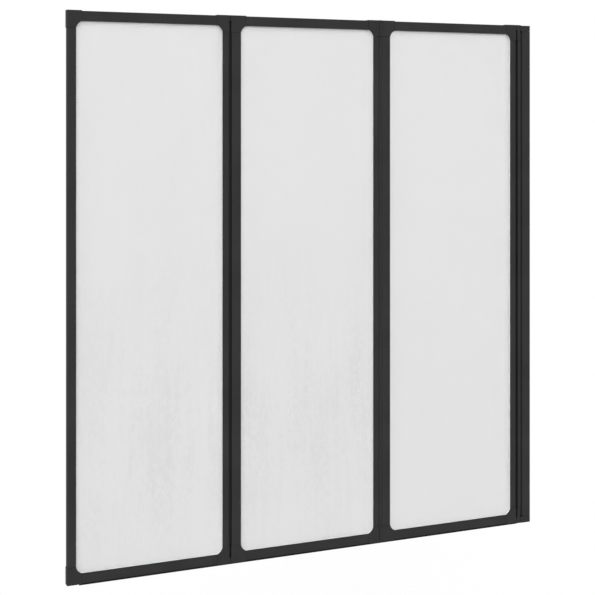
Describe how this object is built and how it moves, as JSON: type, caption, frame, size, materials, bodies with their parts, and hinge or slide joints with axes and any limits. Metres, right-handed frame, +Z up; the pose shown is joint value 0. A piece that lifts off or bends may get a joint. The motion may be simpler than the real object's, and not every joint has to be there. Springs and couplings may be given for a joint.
{
  "type": "folding shower screen",
  "caption": "Folding bath screen: dark framed patterned-glass panels hinged in a line to each other and to a wall channel, with soft seals along the bath rim.",
  "frame": {"origin": "centre of the outer wall screws' pattern, on the face of the wall channel that lies on the wall", "axes": "+X towards the wall, along the closed screen; +Y towards the side that the outer panel and the inner panel fold to, away from the viewer of the picture; +Z up"},
  "size_m": [1.3, 0.0256, 1.38],
  "materials": {
    "frame_metal": "powder coated",
    "block_plastic": "fine matt",
    "pane_glass": "patterned",
    "gasket_rubber": "translucent",
    "seal_rubber": "matt",
    "screw_steel": "plain"
  },
  "bodies": {
    "wall_profile": {"wall_channel": "frame_metal", "wall_channel_cap_top": "block_plastic", "wall_channel_cap_bottom": "block_plastic", "hinge_post": "frame_metal", "hinge_post_block_top": "block_plastic", "hinge_post_block_bottom": "block_plastic", "post_lock_screws": "screw_steel"},
    "panel_3": {"panel_3_left_stile": "frame_metal", "panel_3_right_stile": "frame_metal", "panel_3_top_rail": "frame_metal", "panel_3_bottom_rail": "frame_metal", "panel_3_top_left_block": "block_plastic", "panel_3_top_right_block": "block_plastic", "panel_3_bottom_left_block": "block_plastic", "panel_3_bottom_right_block": "block_plastic", "panel_3_pane": "pane_glass", "panel_3_glazing_gasket": "gasket_rubber", "panel_3_bottom_seal": "seal_rubber", "panel_3_frame_screws": "screw_steel", "wall_hinge_pins": "screw_steel", "wall_hinge_seal": "seal_rubber"},
    "panel_2": {"panel_2_left_stile": "frame_metal", "panel_2_right_stile": "frame_metal", "panel_2_top_rail": "frame_metal", "panel_2_bottom_rail": "frame_metal", "panel_2_top_left_block": "block_plastic", "panel_2_top_right_block": "block_plastic", "panel_2_bottom_left_block": "block_plastic", "panel_2_bottom_right_block": "block_plastic", "panel_2_pane": "pane_glass", "panel_2_glazing_gasket": "gasket_rubber", "panel_2_bottom_seal": "seal_rubber", "panel_2_frame_screws": "screw_steel", "inner_fold_pins": "screw_steel", "inner_fold_seal": "seal_rubber"},
    "panel_1": {"panel_1_left_stile": "frame_metal", "panel_1_right_stile": "frame_metal", "panel_1_top_rail": "frame_metal", "panel_1_bottom_rail": "frame_metal", "panel_1_top_left_block": "block_plastic", "panel_1_top_right_block": "block_plastic", "panel_1_bottom_left_block": "block_plastic", "panel_1_bottom_right_block": "block_plastic", "panel_1_pane": "pane_glass", "panel_1_glazing_gasket": "gasket_rubber", "panel_1_bottom_seal": "seal_rubber", "panel_1_frame_screws": "screw_steel", "outer_fold_pins": "screw_steel", "outer_fold_seal": "seal_rubber"}
  },
  "joints": [
    {"name": "wall_hinge", "type": "hinge", "parent": "wall_profile", "child": "panel_3", "pos_m": [-0.0429, 0.0097, 0], "axis": [0, 0, -1], "range_deg": [0, 90]},
    {"name": "inner_fold", "type": "hinge", "parent": "panel_3", "child": "panel_2", "pos_m": [-0.46403, -0.0097, 0], "axis": [0, 0, 1], "range_deg": [0, 180]},
    {"name": "outer_fold", "type": "hinge", "parent": "panel_2", "child": "panel_1", "pos_m": [-0.88517, 0.0097, 0], "axis": [0, 0, -1], "range_deg": [0, 180]}
  ]
}
